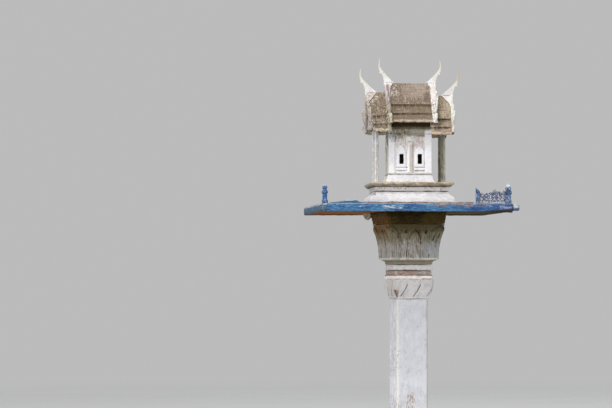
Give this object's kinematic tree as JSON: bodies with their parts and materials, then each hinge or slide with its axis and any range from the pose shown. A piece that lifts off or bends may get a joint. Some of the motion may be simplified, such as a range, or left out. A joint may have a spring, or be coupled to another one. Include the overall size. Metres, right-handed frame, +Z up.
{
  "type": "spirit house",
  "caption": "Weathered cast-concrete spirit house with stepped roofs and horn finials, on a tray and a lotus pillar.",
  "frame": {"origin": "on the ground, in the middle of the pillar's foot", "axes": "+X along the roof ridge towards the back gable, +Y away from the near long wall, +Z up"},
  "size_m": [0.8723, 0.8412, 1.877],
  "materials": {
    "white_paint": "chalky, stained, flaking",
    "grey_paint": "chalky, worn",
    "bare_cement": "rough, weathered",
    "mossy_roof": "rough, mossy",
    "blue_paint": "satin, worn"
  },
  "bodies": {
    "root": {"foot_block": "grey_paint", "foot_lotus": "grey_paint", "foot_ring": "grey_paint", "pillar_shaft": "white_paint", "pillar_collar": "grey_paint", "neck_fillet": "grey_paint", "neck_ring": "grey_paint", "lotus_capital": "bare_cement", "abacus": "bare_cement", "tray_slab": "blue_paint", "tray_rail_stub": "blue_paint", "tray_corner_lump": "grey_paint", "left_corner_post": "blue_paint", "right_corner_post": "blue_paint", "broken_fence_post": "blue_paint", "fence_panel": "blue_paint", "base_skirt": "white_paint", "base_waist": "white_paint", "base_deck": "bare_cement", "wall_foot": "white_paint", "near_wall": "white_paint", "far_wall": "white_paint", "front_end_wall": "white_paint", "back_end_wall": "white_paint", "near_window_frames": "white_paint", "far_window_frames": "white_paint", "front_door_frame": "white_paint", "back_window_frame": "white_paint", "front_porch_posts": "white_paint", "back_porch_posts": "white_paint", "front_porch_beams": "bare_cement", "back_porch_beams": "bare_cement", "upper_roof": "mossy_roof", "front_porch_roof": "mossy_roof", "back_porch_roof": "mossy_roof", "front_porch_gable": "grey_paint", "back_porch_gable": "grey_paint", "upper_front_bargeboard": "white_paint", "upper_back_bargeboard": "white_paint", "lower_front_bargeboard": "white_paint", "lower_back_bargeboard": "white_paint", "upper_front_horn": "white_paint", "upper_back_horn": "white_paint", "lower_front_horn": "white_paint", "lower_back_horn": "white_paint"}
  },
  "joints": []
}
